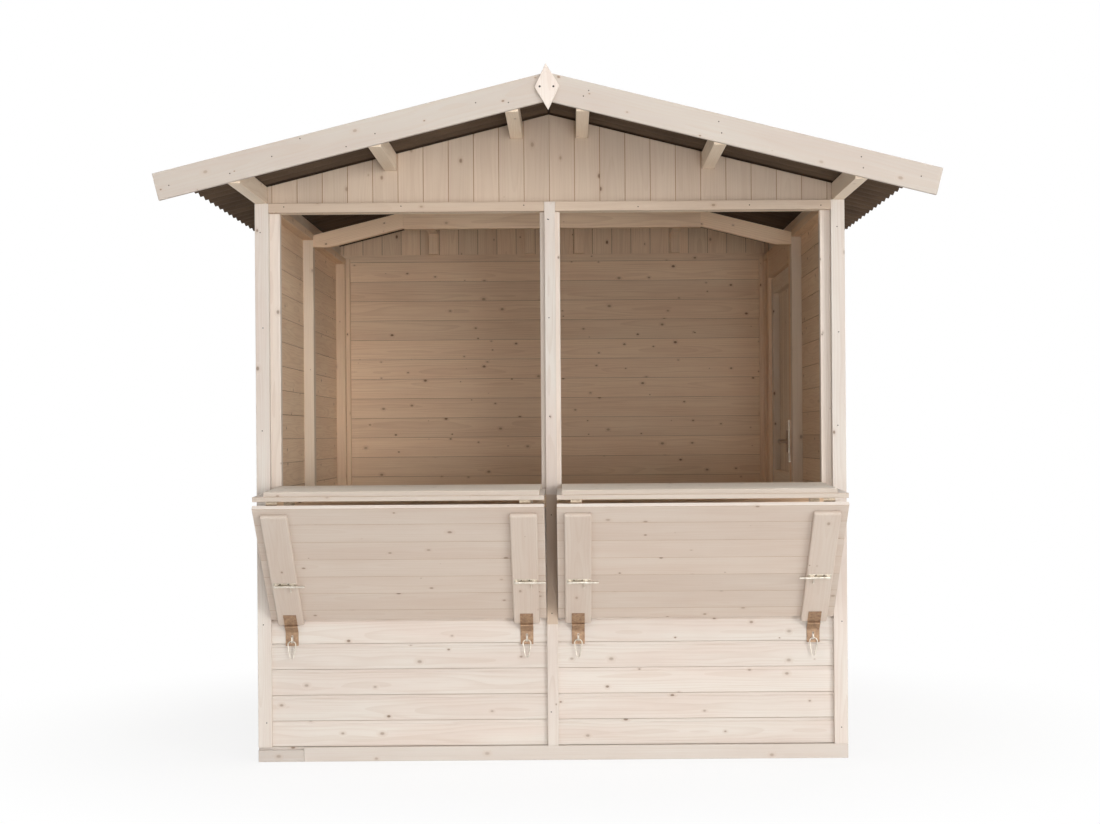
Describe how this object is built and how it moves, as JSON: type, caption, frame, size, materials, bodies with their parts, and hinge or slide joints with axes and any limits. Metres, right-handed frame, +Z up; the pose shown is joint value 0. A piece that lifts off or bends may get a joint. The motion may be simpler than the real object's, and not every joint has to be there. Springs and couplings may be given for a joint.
{
  "type": "wooden market hut",
  "caption": "Pale spruce market hut with two serving openings over folding counters, a corrugated gable roof with a deep front overhang and a side door.",
  "frame": {"origin": "on the ground under the middle of the roof", "axes": "+X to the right seen from the front, +Y from the front to the rear, +Z up"},
  "size_m": [2.542, 3.034, 2.3299],
  "materials": {
    "spruce_boards": "planed and unpainted",
    "spruce_frame": "planed and unpainted",
    "bitumen_sheet": "brown bitumen fibre sheet, matte",
    "zinc_steel": "bright zinc plated",
    "brown_steel": "yellow passivated and tarnished",
    "black_steel": "black lacquer"
  },
  "bodies": {
    "hut": {"barge_boards": "spruce_boards", "base_rails": "spruce_frame", "centre_strip": "spruce_boards", "corner_trims": "spruce_boards", "counter_hinges": "zinc_steel", "counter_shelves": "spruce_boards", "counter_struts": "spruce_boards", "counter_tops": "spruce_boards", "door_frame": "spruce_frame", "door_hinge_plates": "zinc_steel", "door_keeper": "zinc_steel", "eaves_purlins": "spruce_frame", "finials": "spruce_boards", "front_gable": "spruce_boards", "front_packers": "spruce_boards", "front_posts": "spruce_frame", "front_sills": "spruce_frame", "front_wall": "spruce_boards", "gable_studs": "spruce_frame", "header_strip": "spruce_boards", "inner_purlins": "spruce_frame", "ledge_strips": "spruce_boards", "left_wall": "spruce_boards", "middle_posts": "spruce_frame", "rear_gable": "spruce_boards", "rear_posts": "spruce_frame", "rear_wall": "spruce_boards", "ridge_cap": "bitumen_sheet", "right_wall_front": "spruce_boards", "right_wall_over_door": "spruce_boards", "right_wall_rear": "spruce_boards", "roof_sheets": "bitumen_sheet", "roof_truss": "spruce_frame", "side_top_rails": "spruce_frame", "slide_bolts": "zinc_steel", "snap_hooks": "zinc_steel", "strut_battens": "spruce_boards", "strut_hasps": "brown_steel", "wall_headers": "spruce_frame", "wall_staples": "zinc_steel"},
    "door": {"door_latch": "black_steel", "door_leaf": "spruce_boards", "door_ledges": "spruce_boards", "door_stiles": "spruce_boards", "door_straps": "zinc_steel"}
  },
  "joints": [
    {"name": "door_hinge", "type": "hinge", "parent": "hut", "child": "door", "pos_m": [1.0225, 1.0325, 0.9], "axis": [0, 0, 1], "range_deg": [0, 110]}
  ]
}
